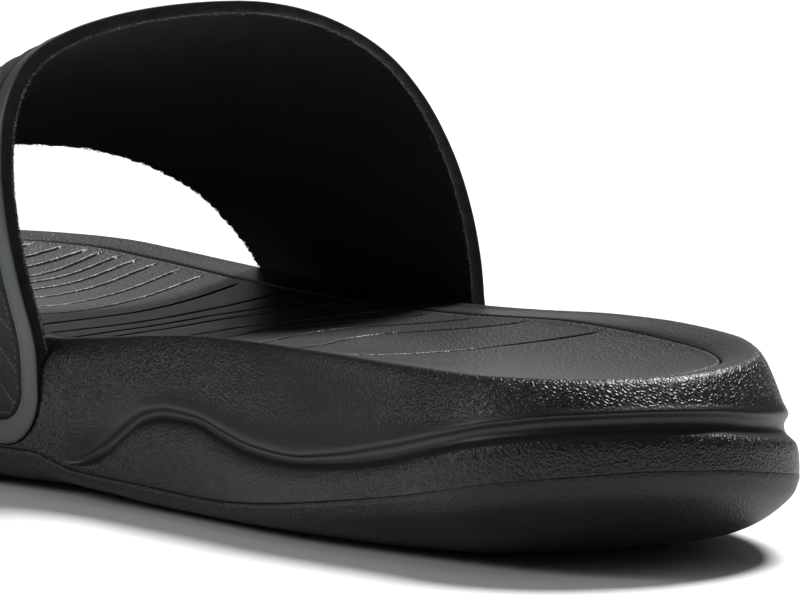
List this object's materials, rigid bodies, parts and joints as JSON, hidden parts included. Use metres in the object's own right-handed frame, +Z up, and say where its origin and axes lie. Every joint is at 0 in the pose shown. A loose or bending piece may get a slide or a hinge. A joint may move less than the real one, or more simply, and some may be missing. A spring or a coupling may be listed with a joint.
{
  "type": "slide sandal",
  "caption": "Sport slide sandal: cupped foam sole with a carved wave along its side, and one wide open strap with a smooth trim frame round a ribbed panel",
  "frame": {"origin": "middle of the bounding box's bottom, on the floor under the sole", "axes": "+Y toward the toe, +X toward the outer side of a right foot, +Z up"},
  "size_m": [0.1008, 0.285, 0.0884],
  "materials": {
    "outsole_foam": "matte moulded foam",
    "midsole_foam": "satin moulded foam with a leathery grain",
    "footbed_foam": "matte moulded foam",
    "strap_foam": "brushed textile lining on foam",
    "trim_film": "smooth satin film",
    "panel_textile": "ribbed woven textile"
  },
  "bodies": {
    "root": {"outsole": "outsole_foam", "midsole": "midsole_foam", "footbed": "footbed_foam", "strap": "strap_foam", "strap_trim": "trim_film", "strap_panel": "panel_textile"}
  },
  "joints": []
}
